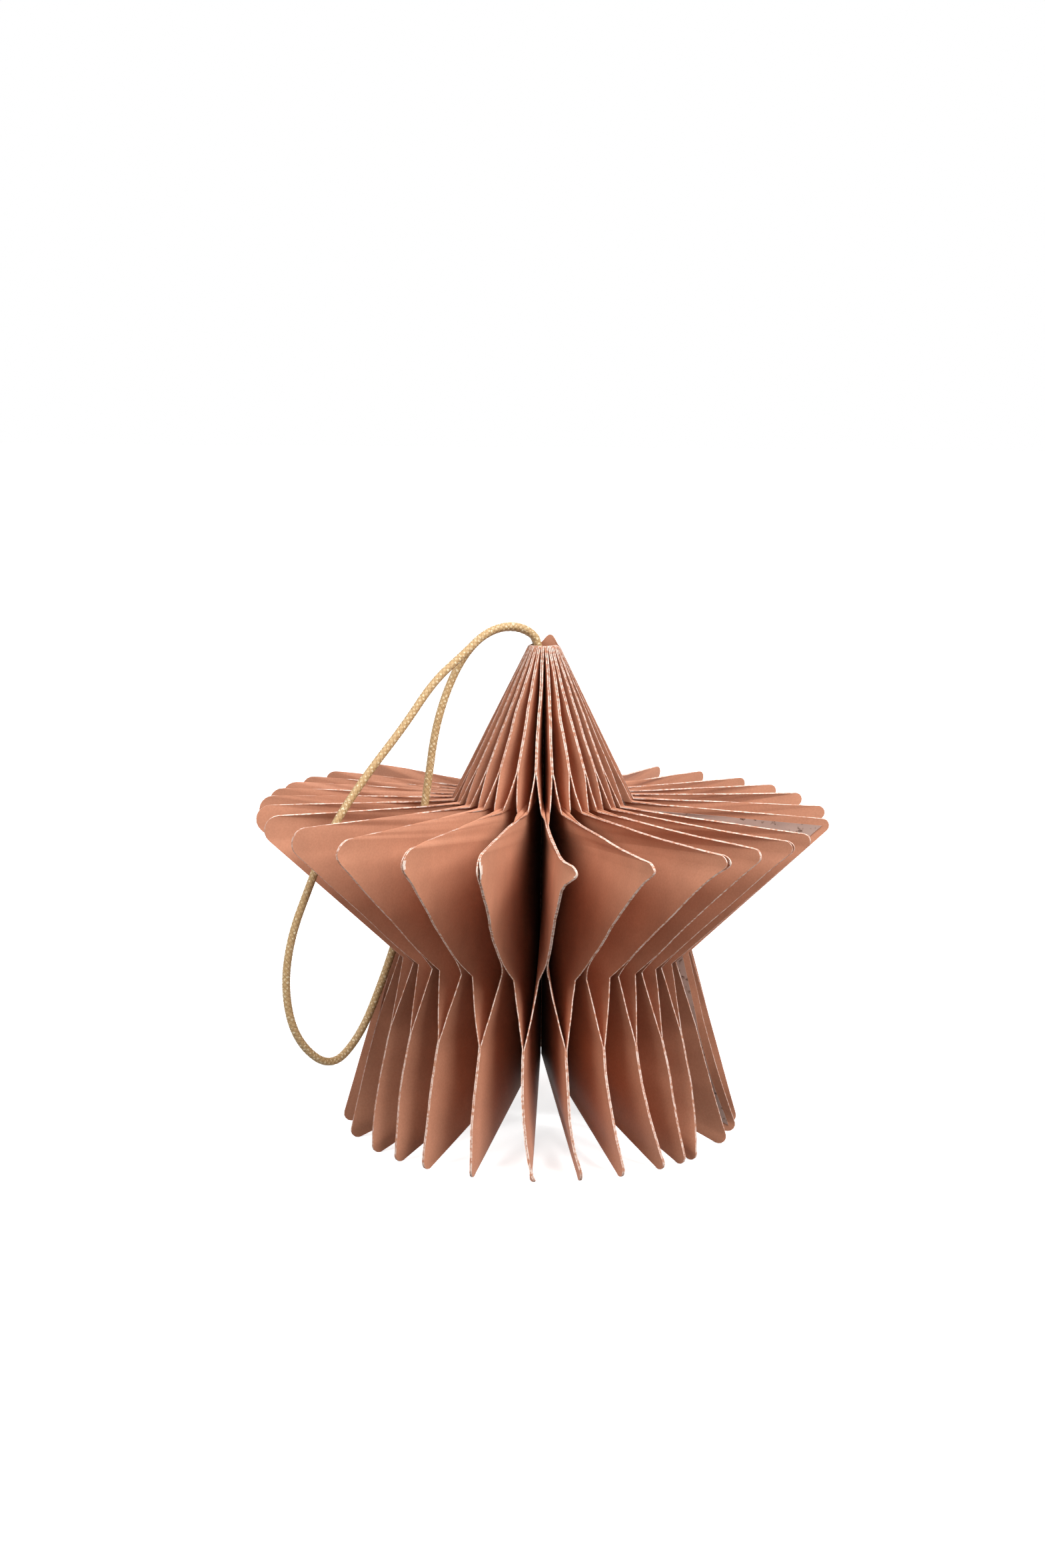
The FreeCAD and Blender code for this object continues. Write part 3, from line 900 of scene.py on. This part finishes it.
def lay_floor(settings):
    """White floor that is lit for the camera and keeps the star's shadow."""
    sheet = bmesh.new()
    bmesh.ops.create_grid(sheet, x_segments=1, y_segments=1, size=settings.floor_size / 2)
    mesh = bpy.data.meshes.new("floor")
    sheet.to_mesh(mesh)
    sheet.free()
    floor = bpy.data.objects.new("floor", mesh)
    floor.location.z = cad_low.z
    bpy.context.scene.collection.objects.link(floor)
    material, tree, output = new_material("white_floor")
    rays = add(tree, "LightPath")
    seen = seen_directly(tree, rays)
    tint = add(tree, "Mix", {0: rays.outputs["Is Camera Ray"], 6: (0.3, 0.3, 0.3, 1), 7: (0.8, 0.8, 0.8, 1)},
               data_type="RGBA")
    matt = add(tree, "BsdfDiffuse", {"Color": tint.outputs[2]})
    place = add(tree, "TexCoord").outputs["Object"]
    away = add(tree, "VectorMath", {0: place}, operation="LENGTH")
    lit = add(tree, "MapRange", {"Value": away.outputs["Value"], "From Min": 0.12, "From Max": 0.6,
                                 "To Min": 0.75, "To Max": 1.0})
    glow = add(tree, "Emission", {"Color": (1, 1, 1, 1), "Strength": lit.outputs["Result"]})
    lift = add(tree, "MixShader", {0: seen, 1: matt.outputs[0], 2: glow.outputs[0]})
    both = add(tree, "AddShader", {0: lift.outputs[0], 1: matt.outputs[0]})
    final = add(tree, "MixShader", {0: seen, 1: matt.outputs[0], 2: both.outputs[0]})
    tree.links.new(final.outputs[0], output.inputs["Surface"])
    mesh.materials.append(material)


class STAR_PT_panel(bpy.types.Panel):
    bl_idname = "STAR_PT_panel"
    bl_label = "Paper star"
    bl_space_type = "VIEW_3D"
    bl_region_type = "UI"
    bl_category = "Paper star"

    def draw(self, context):
        for group, operators in PANEL_ROWS:
            box = self.layout.box()
            settings = getattr(context.scene, group)
            for name in settings.__annotations__:
                box.prop(settings, name)
            for operator in operators:
                box.operator(operator)


PANEL_ROWS = (
    ("star_paper", ("star.leaves",)),
    ("star_film", ("star.film",)),
    ("star_cord", ("star.cord",)),
    ("star_stage", ("star.stage",)),
)
GROUPS = {"star_paper": StarPaper, "star_film": StarFilm, "star_cord": StarCord, "star_stage": StarStage}
CLASSES = (*GROUPS.values(), STAR_OT_leaves, STAR_OT_film, STAR_OT_cord, STAR_OT_stage, STAR_PT_panel)


def register():
    for item in CLASSES:
        bpy.utils.register_class(item)
    for name, group in GROUPS.items():
        setattr(bpy.types.Scene, name, bpy.props.PointerProperty(type=group))


def unregister():
    for name in GROUPS:
        delattr(bpy.types.Scene, name)
    for item in reversed(CLASSES):
        bpy.utils.unregister_class(item)


def main():
    """Make everything."""
    register()
    bpy.ops.star.stage()
    bpy.ops.star.leaves()
    bpy.ops.star.film()
    bpy.ops.star.cord()


if __name__ == "__main__":
    main()
